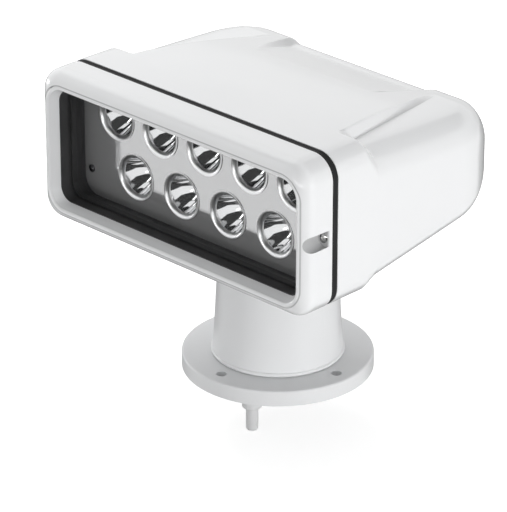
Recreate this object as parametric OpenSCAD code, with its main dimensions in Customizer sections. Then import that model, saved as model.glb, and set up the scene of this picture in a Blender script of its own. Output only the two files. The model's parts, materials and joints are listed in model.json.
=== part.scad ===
// Deck-mounted marine searchlight: a wide lamp head with nine reflectors that tilts in a yoke,
// on a turret that turns on a bolted mounting flange.
// Millimetres. The origin is the centre of the flange's underside, +Z is up and the beam leaves along -Y.

/* [Mounting flange] */
// Radius of the mounting flange
flange_r = 90; // [86:1:100]
// Thickness of the mounting flange
flange_t = 15; // [12:0.5:20]
// Rounding of the flange's top edge
flange_round = 2; // [0.5:0.25:4]
// Radius of the bolt circle
bolt_circle_r = 75; // [72:0.5:78]
// Radius of each bolt hole
bolt_hole_r = 5; // [3:0.25:6]
// Number of bolt holes
bolt_count = 4; // [3:1:8]
// Radius of the hollow under the flange
hollow_r = 56; // [50:1:60]
// Depth of the hollow under the flange
hollow_depth = 7; // [4:0.5:8]
// Radius of the hub that the turret turns on
hub_r = 20; // [18:0.5:21]
// Radius of the wire passage through the hub
hub_bore_r = 13; // [10:0.5:14]
// Height of the hub above the flange
hub_h = 29; // [26:0.5:34]

/* [Cable gland] */
// Distance of the gland in front of the pan axis
gland_out = 34.5; // [34:0.25:36]
// Radius of the gland's collar
gland_r = 9.5; // [8.5:0.25:12]
// Drop of the gland's collar below the deck face
gland_drop = 34; // [25:0.5:45]
// Radius of the cable spigot
spigot_r = 5.85; // [5:0.05:6.5]
// Drop of the cable spigot below the deck face
spigot_drop = 57.5; // [50:0.5:70]
// Radius of the cable bore
cable_bore_r = 3.6; // [2.5:0.1:4.2]
// Thickness of the gland's locknut
locknut_t = 4.5; // [3:0.25:5]

/* [Turret] */
// Radius of the column where it leaves its foot
column_foot_r = 60.9; // [59:0.1:64]
// Taper of the column on each side, in degrees
column_taper = 3; // [1:0.1:3.5]
// Height of the column's top above the deck
column_top = 112; // [108:0.5:116]
// Radius of the turret's inside
column_bore_r = 50; // [49:0.25:51]
// Height of the turret's floor above the flange
floor_lift = 7; // [6.5:0.25:9]
// Thickness of the turret's floor
floor_t = 7; // [4:0.5:9]
// Radius of the bead round the column's foot
foot_bead_r = 2; // [1:0.1:2.2]
// Width of the foot's flare
foot_flare = 1.2; // [0.2:0.1:1.5]

/* [Gears] */
// Gear module
gear_module = 1.5; // [1.4:0.05:1.5]
// Pressure angle in degrees
pressure_angle = 25; // [22:1:27]
// Teeth on each drive pinion
pinion_teeth = 12; // [11:1:12]
// Teeth on the fixed pan gear
pan_gear_teeth = 36; // [34:1:36]
// Thickness of the pan gear
pan_gear_t = 7; // [5:0.5:9]
// Teeth on a full turn of the tilt sector
sector_teeth = 60; // [58:1:60]
// Half of the tilt sector's angle in degrees
sector_half_angle = 30; // [28:0.5:32]
// Thickness of the tilt sector
sector_t = 8; // [6:0.5:9]
// Radius of each pinion's shaft
pinion_shaft_r = 3; // [2:0.25:3.5]

/* [Tilt yoke] */
// Height of the tilt axis above the deck
tilt_z = 142; // [141:0.25:144]
// Thickness of the yoke's base
yoke_t = 6; // [5:0.5:7]
// Distance from the middle to each ear's inner face
ear_x = 36; // [34:0.5:38]
// Thickness of each ear
ear_t = 10; // [8:0.5:11]
// Radius of each ear's round top
ear_r = 13.5; // [12:0.25:15]
// Radius of the trunnion pins
trunnion_r = 6; // [5:0.25:6.5]
// Wall of each trunnion bush
bush_wall = 2.45; // [1.5:0.05:3]

/* [Head] */
// Half width of the head
head_hw = 167.5; // [160:0.5:180]
// Half height of the head
head_hh = 73.75; // [72:0.25:80]
// Height of the head's centre line above the deck
head_z = 219.75; // [219.75:0.25:228]
// Corner radius of the head seen from the front
corner_r = 22; // [20:0.5:26]
// Upper corner radius of the head behind its collar
rear_corner_r = 30; // [24:0.5:34]
// Corner radius under the head behind its collar
belly_corner_r = 18; // [14:0.5:24]
// Wall of the rear shell
shell_wall = 4.5; // [3.5:0.25:5]
// Distance of the bezel's lip in front of the pan axis
lip_front = 141.2; // [138:0.2:146]
// Distance of the bezel's back face in front of the pan axis
bezel_back = 107; // [105:0.5:109]
// Thickness of the gasket between bezel and shell
gasket_t = 7.1; // [6:0.1:8]
// Distance of the collar's rear end in front of the pan axis
collar_end = 61; // [58:0.5:64]
// Length of the sloping step behind the collar
step_l = 16; // [12:0.5:20]
// Rise of the belly behind the collar
belly_step = 10; // [9:0.5:11]
// Slope of the belly in degrees
belly_slope = 9; // [8:0.2:10]
// Fall of the shoulders beside the raised spine
shoulder_fall = 10; // [6:0.5:12]
// Half width of the spine at its front end
spine_front_hw = 127; // [118:0.5:129]
// Half width of the spine at its rear end
spine_rear_hw = 100; // [92:0.5:104]
// Fall of the top from the front to the rear
top_fall = 20; // [12:0.5:24]
// Distance of the tail behind the pan axis
tail_back = 133.5; // [128:0.5:136]
// Inward turn of the sides at the tail
tail_turn = 60; // [45:1:70]
// Depth of the scoop in the top of the tail
scoop_depth = 6.5; // [4:0.25:8]
// Half width of the scoop at its front edge
scoop_hw = 70.5; // [60:0.5:76]

/* [Window] */
// Width of the frame at each side of the window
window_side = 12.2; // [12.1:0.1:14]
// Width of the frame above and below the window
window_edge = 15; // [14.75:0.25:18]
// Drop of the window below the head's centre line
window_drop = 1.8; // [0:0.1:2]
// Corner radius of the window opening
window_r = 17; // [14:0.5:20]
// Radius of the outer fillet on the bezel's front
bezel_round = 14; // [10:0.5:16]
// Radius of the bead round the window
lip_r = 2.35; // [1.8:0.05:2.5]
// Depth of the tapered reveal behind the lip
reveal_depth = 11; // [7:0.5:12]
// Inward taper of the reveal
reveal_taper = 3.2; // [3:0.1:4]
// Thickness of the window seal
seal_t = 3.2; // [2.8:0.1:3.4]
// Thickness of the window glass
glass_t = 4.3; // [3:0.1:6]
// Distance of the glass behind the lip
glass_back = 20.8; // [18:0.2:24]
// Radius of the screw notches in the bezel's sides
notch_r = 7.9; // [7.4:0.1:8.2]
// Outward tilt of the screw notches, in degrees
notch_tilt = 10; // [8:0.5:12]
// Distance of the bezel screws from the bezel's sides
bezel_screw_inset = 5.2; // [5:0.1:5.3]

/* [Lamp] */
// Distance of the reflector plate behind the lip
plate_back = 45.6; // [43:0.2:48]
// Thickness of the reflector plate
plate_t = 2; // [1.5:0.1:3]
// Inner radius of each reflector's mouth
cup_r = 18; // [17:0.1:18.4]
// Radius of each reflector's opening at its light source
cup_throat_r = 5; // [4.5:0.1:6]
// Depth of each reflector
cup_depth = 26; // [20:0.5:30]
// Wall of each reflector
cup_wall = 1; // [0.8:0.1:1.4]
// Radius of each reflector's rolled mouth
cup_roll = 4.5; // [3.8:0.1:4.6]
// Height of the rolled mouth over the plate
cup_proud = 0.8; // [0.6:0.1:1.2]
// Distance of the upper row's outer axes from the window's sides
upper_margin = 42.8; // [40:0.2:45]
// Distance of the lower row's outer axes from the window's sides
lower_margin = 67.1; // [65:0.2:70]
// Height of the upper row above the head's centre line
upper_row = 25.25; // [25:0.25:28]
// Drop of the lower row below the head's centre line
lower_row = 26.75; // [26:0.25:28]
// Thickness of the lamp board
board_t = 1.6; // [1:0.1:2.4]
// Thickness of the heat sink's base
sink_t = 6; // [4:0.5:8]
// Depth of the heat sink's fins
fin_depth = 36; // [25:0.5:38]
// Thickness of each fin
fin_t = 3; // [2:0.25:4]
// Spacing of the fins
fin_pitch = 15; // [10:0.5:20]

/* [Clearances] */
// Radial clearance of running shafts
run_clear = 0.05; // [0.03:0.01:0.09]
// Gap between parts that move past each other
move_gap = 0.5; // [0.4:0.05:0.8]
// Gap round parts that are fitted by hand
fit_gap = 0.1; // [0.05:0.01:0.2]
// Thinning of each gear tooth's flank for backlash
tooth_play = 0.12; // [0.08:0.01:0.2]

/* [Hidden] */
$fn = 48;

// Turret heights
deck_z = flange_t;
column_bottom = deck_z + move_gap;
floor_z = deck_z + floor_lift;
floor_top = floor_z + floor_t;
hub_top = deck_z + hub_h;
boss_top = hub_top - move_gap;
pan_bush_r = hub_r + 3.5;
boss_r = pan_bush_r + 3.5;
flare_top = 45;
column_top_r = column_radius(column_top);
foot_cavity_r = 53.5;
seal_groove = [55.5, 59.5];
seal_groove_h = 3;
thrust_ring_r = [47, 53];

// Top of the spigot inside the gland
spigot_top = 24 - gland_drop;

// Pan drive
pan_gear_top = hub_top + pan_gear_t;
pan_gear_r = gear_module * pan_gear_teeth / 2;
pinion_r = gear_module * pinion_teeth / 2;
mesh_gap = 0.15;
pan_pinion_y = pan_gear_r + pinion_r + mesh_gap;
chassis_z = pan_gear_top + 6;
chassis_t = 3;
chassis_top = chassis_z + chassis_t;
chassis_r = column_bore_r - 1.5;
post_circle_r = 42;
post_r = 3.5;
gear_screw_circle_r = (hub_r + hub_bore_r) / 2;
gearbox_r = 12;
gearbox_l = 18;
motor_r = 11;
motor_l = 16;
shaft_depth = 12;
slip_rod_r = 4;
slip_body_r = 11;
slip_body_h = 13;
slip_flange_r = 15;
slip_flange_t = 2;
slip_top = chassis_top + slip_body_h;

// Tilt drive
sector_r = gear_module * sector_teeth / 2;
tilt_pinion_z = tilt_z - sector_r - pinion_r - mesh_gap;
yoke_top = column_top + yoke_t;
yoke_spigot_h = 6;
yoke_spigot_wall = 4;
tilt_limit = 20;
slot_reach = sector_half_angle + tilt_limit;
slot_hy = (tilt_z - column_top) * tan(slot_reach) + 3;
slot_hx = sector_t / 2 + 2.5;
ear_foot_hy = 20;
bush_r = trunnion_r + run_clear + bush_wall;
bush_flange_t = 1.7;
bush_flange_r = bush_r + 2.5;
lug_x = ear_x - bush_flange_t - 0.3;
lug_t = 10;
lug_r = 13;
lug_hy = lug_r - 0.6;
bracket_x = slot_hx + 1.5;
bracket_t = 3;
bracket_hy = 13;
tilt_box_l = 14;
tilt_motor_l = 18;
pinion_w = 10;

// Belly plane of the head, and the place below the tilt axis's foot on it
belly_front = -collar_end + step_l;
belly_front_z = head_z - head_hh + belly_step;
belly_gap = (belly_front_z - belly_front * tan(belly_slope) - tilt_z) * cos(belly_slope);
saddle_t = 6;
ear_top_r = min(ear_r, belly_gap - saddle_t - 1);
saddle_hx = 48;
saddle_hy = 36;
saddle_screw = [40, 28];
stem_hy = 12;
sector_foot = [11, 24];
sector_foot_t = 3;
sector_hub_r = min(lug_r, belly_gap - saddle_t - sector_foot_t - 1);
wire_hole_r = 3;

// Head depths, measured forward from the pan axis
gasket_back = bezel_back - gasket_t;
reveal_end = lip_front - reveal_depth;
glass_front = lip_front - glass_back;
plate_front = lip_front - plate_back;
plate_rear = plate_front - plate_t;
seal_rear = plate_front + 0.3;
cup_rear = plate_front - cup_depth;
cup_seat_r = cup_r + cup_roll - 1.5;
board_front = cup_rear - 0.3;
board_rear = board_front - board_t;
sink_rear = board_rear - sink_t;
fin_rear = sink_rear - fin_depth;
notch_end = bezel_back + 6.3;
screw_seat = bezel_back + 4;

// Head outlines
window_hw = head_hw - window_side;
window_hh = head_hh - window_edge;
bezel_screw_x = head_hw - bezel_screw_inset;
notch_x = bezel_screw_x + 3;
lip_overlap = 1;
frame_inset = 2 * lip_r - 0.7;
seal_gap = 0.3;
pocket_inset = 0.5;
seal_hw = window_hw - pocket_inset - seal_gap;
seal_hh = window_hh - pocket_inset - seal_gap;
seal_r = window_r - pocket_inset - seal_gap;
glass_grip = seal_t - 1.4;
seal_lip = [1, 2.4];
seal_lip_front = gasket_back + 0.5;
gasket_w = 9.5;
gasket_line = 0.6;
plate_hw = head_hw - shell_wall - 2.5;
plate_hh = head_hh - shell_wall - 2.75;
plate_r = 15;
post_inset = 13.5;
head_post_r = 7;
screw_boss_r = bezel_screw_inset - 1;
head_post_l = 28;
head_post = [head_hw - post_inset, head_hh - post_inset - 0.25];
board_hw = plate_hw - 8.5;
board_hh = plate_hh - 14.5;
board_r = 6;
upper_count = 5;
lower_count = 4;
upper_pitch = 2 * (window_hw - upper_margin) / (upper_count - 1);
lower_pitch = 2 * (window_hw - lower_margin) / (lower_count - 1);
standoff_r = 4;
standoff_places = [[board_hw - 5.4, -35.75], [board_hw - 13, 46.25], [upper_pitch / 2, 48.25]];
fin_hh = board_hh - 6;
fin_count = 2 * floor((board_hw - fin_t) / fin_pitch) + 1;
driver_size = [90, 46, 40];

// Screws: shaft radius, head radius and head height
small_screw = [1.5, 2.8, 1.8];
medium_screw = [2, 3.6, 2.4];
large_screw = [2.5, 4.7, 3.2];

// Depths that the screws reach into their seats, and what a tapped hole adds
gear_grip = 10;
chassis_grip = 8;
yoke_grip = 10;
bezel_grip = 14;
post_grip = 14;
standoff_grip = 8;
tap_extra = 2;

// Rear shell outline
shell_front_y = -gasket_back;
spine_end_y = 95.5;
side_turn_y = 64;
top_turn_y = 106;
belly_turn_y = 72;
tail_top_h = 33;
tail_belly_h = 48;
scoop_y = 45;
scoop_full_y = 102;
scoop_flare = 0.21;
scoop_wall_w = 7;
spine_edge_w = 7.5;
corner_steps = 5;
inner_tail_y = 122;

cup_places = concat(
    [for (i = [0 : upper_count - 1]) [(i - (upper_count - 1) / 2) * upper_pitch, upper_row]],
    [for (i = [0 : lower_count - 1]) [(i - (lower_count - 1) / 2) * lower_pitch, -lower_row]]
);
cup_names = [for (i = [1 : len(cup_places)]) str("reflector_cup_", i)];

// General shapes

function clamped(t) = min(1, max(0, t));
function smooth(t) = let (c = clamped(t)) c * c * (3 - 2 * c);
function turned(t) = 1 - sqrt(max(0, 1 - pow(clamped(t), 2)));

// A flat ring or disc with its hole
module ring(outer, inner, bottom, top) {
    difference() {
        translate([0, 0, bottom]) cylinder(r = outer, h = top - bottom);
        translate([0, 0, bottom - 1]) cylinder(r = inner, h = top - bottom + 2);
    }
}

// Children repeated round the pan axis
module around(count, radius, first = 0) {
    for (i = [0 : count - 1])
        rotate([0, 0, first + i * 360 / count]) translate([radius, 0, 0]) children();
}

// Children and their mirror image on the other side of the head
module both_sides() {
    children();
    mirror([1, 0, 0]) children();
}

// A pan-head screw along -Z with its head's underside at the origin
module pan_screw(size, length) {
    translate([0, 0, -length]) cylinder(r = size[0], h = length + size[2] / 2);
    difference() {
        intersection() {
            cylinder(r = size[1], h = size[2]);
            translate([0, 0, size[2] - size[1] * 1.6]) sphere(r = size[1] * 1.6);
        }
        translate([0, 0, size[2] * 0.45]) cylinder(r = size[0] * 0.75, h = size[2], $fn = 6);
    }
}

// The hole that takes a screw's end, down from the origin
module tapped_hole(size, grip) {
    translate([0, 0, -grip - tap_extra]) cylinder(r = size[0] + fit_gap, h = grip + tap_extra + 1);
}

// Local frame of the lamp's face: x to the right, y up from the centre line, z forward
module facing() {
    translate([0, 0, head_z]) rotate([90, 0, 0]) children();
}

// Rounded rectangle outline
module round_rect(hw, hh, r) {
    square([2 * hw, 2 * (hh - r)], center = true);
    square([2 * (hw - r), 2 * hh], center = true);
    for (x = [-1, 1], y = [-1, 1])
        translate([x * (hw - r), y * (hh - r)]) circle(r = r);
}

// Rounded rectangle plate between two forward distances
module round_plate(hw, hh, r, rear, front) {
    translate([0, 0, rear]) linear_extrude(front - rear) round_rect(hw, hh, r);
}

// A profile carried round a rounded rectangle: profile x points outward, profile y forward
module swept_frame(hw, hh, r) {
    for (side = [0, 1]) mirror([side, 0, 0]) {
        translate([hw, hh - r, 0]) rotate([90, 0, 0]) linear_extrude(2 * (hh - r)) children();
        for (end = [0, 1]) mirror([0, end, 0])
            translate([hw - r, hh - r, 0]) rotate_extrude(angle = 90) translate([r, 0]) children();
    }
    for (end = [0, 1]) mirror([0, end, 0])
        rotate([0, 0, 90]) translate([hh, hw - r, 0]) rotate([90, 0, 0])
            linear_extrude(2 * (hw - r)) children();
}

// Gears

function involute(a) = tan(a) * 180 / PI - a;

// Half of a tooth's angle at a radius
function tooth_half_angle(teeth, r) =
    let (pitch_r = gear_module * teeth / 2,
         base_r = pitch_r * cos(pressure_angle),
         a = r > base_r ? acos(base_r / r) : 0)
    90 / teeth - tooth_play / pitch_r * 180 / PI + involute(pressure_angle) - involute(a);

// Outline of a gear with a tooth at the angle first
module gear_outline(teeth, first) {
    pitch_r = gear_module * teeth / 2;
    root_r = pitch_r - 1.25 * gear_module;
    tip_r = pitch_r + 0.95 * gear_module;
    base_r = max(pitch_r * cos(pressure_angle), root_r + 0.1);
    flank = [root_r, base_r, (base_r + pitch_r) / 2, pitch_r, (pitch_r + tip_r) / 2, tip_r];
    polygon([
        for (i = [0 : teeth - 1], side = [-1, 1], k = [0 : len(flank) - 1])
            let (r = flank[side < 0 ? k : len(flank) - 1 - k],
                 a = first + i * 360 / teeth + side * tooth_half_angle(teeth, r))
            [r * cos(a), r * sin(a)]
    ]);
}

// An outline drawn in the Y-Z plane, extruded along X about its middle
module across(width) {
    rotate([90, 0, 90]) translate([0, 0, -width / 2]) linear_extrude(width) children();
}

// A cylinder along X
module cross_rod(r, from, to) {
    translate([from, 0, 0]) rotate([0, 90, 0]) cylinder(r = r, h = to - from);
}

// Base: flange, gland, fixed gear and bearing

module base_flange() {
    color("white") difference() {
        union() {
            rotate_extrude() {
                square([flange_r, flange_t - flange_round]);
                square([flange_r - flange_round, flange_t]);
                translate([flange_r - flange_round, flange_t - flange_round]) circle(r = flange_round);
            }
            cylinder(r = hub_r, h = hub_top);
        }
        translate([0, 0, -1]) cylinder(r = hollow_r, h = hollow_depth + 1);
        cylinder(r = hub_bore_r, h = hub_top + 1);
        around(bolt_count, bolt_circle_r) translate([0, 0, -1]) cylinder(r = bolt_hole_r, h = flange_t + 2);
        at_gland() cylinder(r = gland_neck_r() + fit_gap, h = flange_t + 1);
        translate([-5, -hub_r - 1, deck_z + 0.5]) cube([10, hub_r, floor_lift - 1]);
        around(3, gear_screw_circle_r, 30)
            translate([0, 0, hub_top]) tapped_hole(small_screw, gear_grip);
    }
}

function gland_neck_r() = gland_r - 2;

module at_gland() {
    translate([0, -gland_out, 0]) children();
}

module cable_gland() {
    neck_top = deck_z + locknut_t + 1;
    color("white") at_gland() difference() {
        union() {
            translate([0, 0, 1 - gland_drop]) cylinder(r = gland_r, h = gland_drop + hollow_depth - 1);
            translate([0, 0, -gland_drop]) cylinder(r1 = gland_r - 1, r2 = gland_r, h = 1);
            translate([0, 0, hollow_depth - 1]) cylinder(r = gland_neck_r(), h = neck_top - hollow_depth + 1);
        }
        translate([0, 0, -gland_drop - 1])
            cylinder(r = spigot_r + fit_gap / 4, h = spigot_top + gland_drop + 1);
        cylinder(r = cable_bore_r, h = 4 * flange_t, center = true);
    }
}

module gland_locknut() {
    color("white") at_gland() translate([0, 0, deck_z]) difference() {
        cylinder(r = gland_r + 0.8, h = locknut_t, $fn = 6);
        translate([0, 0, -1]) cylinder(r = gland_neck_r() + fit_gap, h = locknut_t + 2);
    }
}

module cable_spigot() {
    round_end = 2;
    color("white") at_gland() difference() {
        union() {
            translate([0, 0, round_end - spigot_drop])
                cylinder(r = spigot_r, h = spigot_top + spigot_drop - round_end);
            translate([0, 0, -spigot_drop]) cylinder(r = spigot_r - round_end, h = 2 * round_end);
            translate([0, 0, round_end - spigot_drop]) rotate_extrude()
                translate([spigot_r - round_end, 0]) circle(r = round_end);
        }
        translate([0, 0, -spigot_drop - 1]) cylinder(r = cable_bore_r, h = spigot_drop + spigot_top + 2);
    }
}

module thrust_ring() {
    color("ivory") ring(thrust_ring_r[1], thrust_ring_r[0], deck_z, floor_z - 0.3);
}

module turret_seal() {
    color("dimgray") ring(seal_groove[1] - move_gap, seal_groove[0] + move_gap,
        deck_z, column_bottom + seal_groove_h - move_gap);
}

module pan_gear() {
    color("silver") difference() {
        translate([0, 0, hub_top]) linear_extrude(pan_gear_t) difference() {
            gear_outline(pan_gear_teeth, 90);
            circle(r = hub_bore_r);
        }
        around(3, gear_screw_circle_r, 30) cylinder(r = small_screw[0] + fit_gap, h = 2 * pan_gear_top);
    }
}

module pan_gear_screws() {
    color("silver") around(3, gear_screw_circle_r, 30)
        translate([0, 0, pan_gear_top]) pan_screw(small_screw, pan_gear_t + gear_grip);
}

// Fixed inner post of the slip ring, standing in the hub
module slip_ring_post() {
    plug_h = 5;
    color("gainsboro") difference() {
        union() {
            translate([0, 0, hub_top - plug_h - 1]) cylinder(r = hub_bore_r - fit_gap, h = plug_h);
            translate([0, 0, hub_top - plug_h - 1]) cylinder(r = slip_rod_r, h = slip_top - hub_top + plug_h);
        }
        around(3, 0.66 * hub_bore_r) cylinder(r = 2, h = 2 * hub_top);
    }
}

// Turret: column, drives and yoke

function column_radius(z) = column_foot_r - (z - deck_z) * tan(column_taper);
function flared_radius(z) = column_radius(z)
    + foot_flare * pow(clamped((flare_top - z) / (flare_top - deck_z)), 3);

module turret_column() {
    flare_steps = 8;
    color("white") difference() {
        union() {
            rotate_extrude() polygon(concat(
                [[0, column_bottom]],
                [for (i = [0 : flare_steps])
                    let (z = column_bottom + (flare_top - column_bottom) * i / flare_steps)
                    [flared_radius(z), z]],
                [[column_top_r, column_top], [0, column_top]]
            ));
            translate([0, 0, column_bottom + foot_bead_r]) rotate_extrude()
                translate([column_foot_r, 0]) circle(r = foot_bead_r);
        }
        translate([0, 0, column_bottom - 1]) cylinder(r = foot_cavity_r, h = floor_z - column_bottom + 1);
        ring(seal_groove[1], seal_groove[0], column_bottom - 1, column_bottom + seal_groove_h);
        ring(column_bore_r, boss_r, floor_top, column_top + 1);
        translate([0, 0, boss_top]) cylinder(r = boss_r + 1, h = column_top);
        cylinder(r = pan_bush_r + fit_gap / 4, h = column_top);
        around(6, (column_top_r + column_bore_r) / 2, 30)
            translate([0, 0, column_top]) tapped_hole(small_screw, yoke_grip);
    }
    color("white") around(4, post_circle_r, 45) difference() {
        translate([0, 0, floor_top - 1]) cylinder(r = post_r, h = chassis_z - floor_top + 1);
        translate([0, 0, chassis_z]) tapped_hole(small_screw, chassis_grip);
    }
}

module pan_bush() {
    color("goldenrod") ring(pan_bush_r, hub_r + run_clear, floor_z, boss_top);
}

module at_pan_pinion() {
    translate([0, pan_pinion_y, 0]) children();
}

module chassis_plate() {
    color("silver") difference() {
        translate([0, 0, chassis_z]) cylinder(r = chassis_r, h = chassis_t);
        cylinder(r = slip_rod_r + 2, h = column_top);
        at_pan_pinion() cylinder(r = pinion_shaft_r + 1, h = column_top);
        around(4, post_circle_r, 45) cylinder(r = small_screw[0] + fit_gap, h = column_top);
        around(2, 24) cylinder(r = 5, h = column_top);
    }
}

module chassis_screws() {
    color("silver") around(4, post_circle_r, 45)
        translate([0, 0, chassis_top]) pan_screw(small_screw, chassis_t + chassis_grip);
}

// A gearmotor standing on its output face, with a blind bore for the pinion's shaft
module gearmotor(box_r, box_l, can_r, can_l) {
    difference() {
        union() {
            cylinder(r = box_r, h = box_l);
            translate([0, 0, box_l]) cylinder(r = can_r, h = can_l);
            translate([0, 0, box_l + can_l]) cylinder(r = can_r / 2, h = 2);
        }
        translate([0, 0, -1]) cylinder(r = pinion_shaft_r + run_clear, h = shaft_depth + 1.5);
        translate([0, 0, box_l - 3]) ring(box_r + 1, box_r - 0.6, 0, 1);
    }
}

module pan_gearmotor() {
    color("dimgray") at_pan_pinion()
        translate([0, 0, chassis_top]) gearmotor(gearbox_r, gearbox_l, motor_r, motor_l);
}

module pan_pinion() {
    gear_z = hub_top + 0.5;
    color("goldenrod") at_pan_pinion() {
        translate([0, 0, gear_z]) linear_extrude(pan_gear_t + 1)
            gear_outline(pinion_teeth, 270 + 180 / pinion_teeth);
        translate([0, 0, gear_z]) cylinder(r = pinion_shaft_r, h = chassis_top + shaft_depth - gear_z);
    }
}

module slip_ring_body() {
    color("dimgray") {
        ring(slip_flange_r, slip_rod_r + move_gap, chassis_top, chassis_top + slip_flange_t);
        ring(slip_body_r, slip_rod_r + move_gap, chassis_top + slip_flange_t / 2, slip_top);
    }
}

module control_board() {
    board_y = -0.76 * column_bore_r;
    board_hx = 0.52 * column_bore_r;
    board_h = 0.72 * column_bore_r;
    color("seagreen") {
        translate([-board_hx, board_y - board_t, chassis_top]) cube([2 * board_hx, board_t, board_h]);
        translate([-board_hx + 4, board_y - 1, chassis_top + 5]) cube([12, 6, 16]);
        translate([-6, board_y - 1, chassis_top + 8]) cube([12, 3, 12]);
        translate([12, board_y - 1, chassis_top + 6]) cube([8, 9, 9]);
        translate([16, board_y - 1, chassis_top + 25]) rotate([-90, 0, 0]) cylinder(r = 4, h = 9);
    }
}

module at_tilt() {
    translate([0, 0, tilt_z]) children();
}

module tilt_yoke() {
    color("white") difference() {
        union() {
            translate([0, 0, column_top])
                cylinder(r1 = column_top_r, r2 = column_radius(yoke_top), h = yoke_t);
            ring(column_bore_r - fit_gap, column_bore_r - yoke_spigot_wall,
                column_top - yoke_spigot_h, column_top + 1);
            both_sides() translate([ear_x + ear_t / 2, 0, 0]) across(ear_t) union() {
                translate([0, tilt_z]) circle(r = ear_top_r);
                polygon([
                    [-ear_foot_hy, yoke_top - 1], [ear_foot_hy, yoke_top - 1],
                    [ear_top_r, tilt_z], [-ear_top_r, tilt_z]
                ]);
            }
        }
        translate([-slot_hx, -slot_hy, column_top - 1]) cube([2 * slot_hx, 2 * slot_hy, yoke_t + 2]);
        at_tilt() cross_rod(bush_r + fit_gap / 4, -head_hw, head_hw);
        around(6, (column_top_r + column_bore_r) / 2, 30)
            translate([0, 0, column_top - 1]) cylinder(r = small_screw[0] + fit_gap, h = yoke_t + 2);
        at_bracket_screws() translate([0, 0, -1]) cylinder(r = small_screw[0] + fit_gap, h = yoke_t + 2);
    }
}

module yoke_screws() {
    color("silver") around(6, (column_top_r + column_bore_r) / 2, 30)
        translate([0, 0, yoke_top]) pan_screw(small_screw, yoke_t + yoke_grip);
}

// Places of the bracket screws on the yoke base's underside
module at_bracket_screws() {
    for (y = [-1, 1]) translate([bracket_x + 10, y * bracket_hy / 2, column_top]) children();
}

module tilt_bracket() {
    flange_l = 15;
    plate_bottom = tilt_pinion_z - bracket_hy + 1;
    color("silver") difference() {
        union() {
            translate([bracket_x, -bracket_hy, plate_bottom])
                cube([bracket_t, 2 * bracket_hy, column_top - plate_bottom]);
            translate([bracket_x, -bracket_hy, column_top - bracket_t])
                cube([flange_l, 2 * bracket_hy, bracket_t]);
        }
        translate([0, 0, tilt_pinion_z]) cross_rod(pinion_shaft_r + 1, 0, head_hw);
        at_bracket_screws() cylinder(r = small_screw[0] + fit_gap, h = 3 * bracket_t, center = true);
    }
}

module bracket_screws() {
    color("silver") at_bracket_screws() translate([0, 0, yoke_t]) pan_screw(small_screw, yoke_t + bracket_t);
}

module tilt_gearmotor() {
    color("dimgray") translate([bracket_x + bracket_t, 0, tilt_pinion_z]) rotate([0, 90, 0])
        gearmotor(motor_r, tilt_box_l, motor_r - 1, tilt_motor_l);
}

module tilt_pinion() {
    color("goldenrod") translate([0, 0, tilt_pinion_z]) {
        across(pinion_w) gear_outline(pinion_teeth, 90 + 180 / pinion_teeth);
        cross_rod(pinion_shaft_r, -pinion_w / 2, bracket_x + bracket_t + shaft_depth);
    }
}

module trunnion_bushes() {
    color("goldenrod") both_sides() at_tilt() difference() {
        union() {
            cross_rod(bush_r, ear_x - 1, ear_x + ear_t);
            cross_rod(bush_flange_r, ear_x - bush_flange_t, ear_x);
        }
        cross_rod(trunnion_r + run_clear, 0, head_hw);
    }
}

// Head: tilt saddle and sector

// Local frame on the belly, with the tilt axis straight below its origin
module on_belly() {
    translate([0, -belly_gap * sin(belly_slope), tilt_z + belly_gap * cos(belly_slope)])
        rotate([belly_slope, 0, 0]) children();
}

// Outline of a web in the Y-Z plane, from the tilt axis straight towards the belly
module towards_belly(half_width, length) {
    rotate(belly_slope) translate([-half_width, 0]) square([2 * half_width, length]);
}

module at_saddle_screws() {
    for (x = [-1, 1], y = [-1, 1]) translate([x * saddle_screw[0], y * saddle_screw[1], 0]) children();
}

module at_sector_screws() {
    for (y = [-1, 1]) translate([0, y * (sector_foot[1] - 6), 0]) children();
}

module at_wire_hole() {
    translate([lug_x - lug_t + 4.5, 0, 0]) children();
}

module tilt_saddle() {
    color("white") difference() {
        union() {
            on_belly() translate([-saddle_hx, -saddle_hy, -saddle_t])
                cube([2 * saddle_hx, 2 * saddle_hy, saddle_t]);
            both_sides() at_tilt() translate([lug_x - lug_t / 2, 0, 0]) across(lug_t) union() {
                circle(r = lug_r);
                towards_belly(lug_hy, belly_gap - 1);
            }
        }
        at_tilt() cross_rod(trunnion_r + fit_gap / 4, -head_hw, head_hw);
        on_belly() {
            at_saddle_screws() cylinder(r = medium_screw[0] + fit_gap, h = 4 * saddle_t, center = true);
            at_sector_screws() cylinder(r = small_screw[0] + fit_gap, h = 4 * saddle_t, center = true);
            at_wire_hole() translate([0, 0, -belly_gap]) cylinder(r = wire_hole_r, h = 2 * belly_gap);
        }
    }
}

module saddle_screws() {
    color("silver") on_belly() at_saddle_screws() translate([0, 0, -saddle_t]) rotate([180, 0, 0])
        pan_screw(medium_screw, saddle_t + shell_wall);
}

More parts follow.
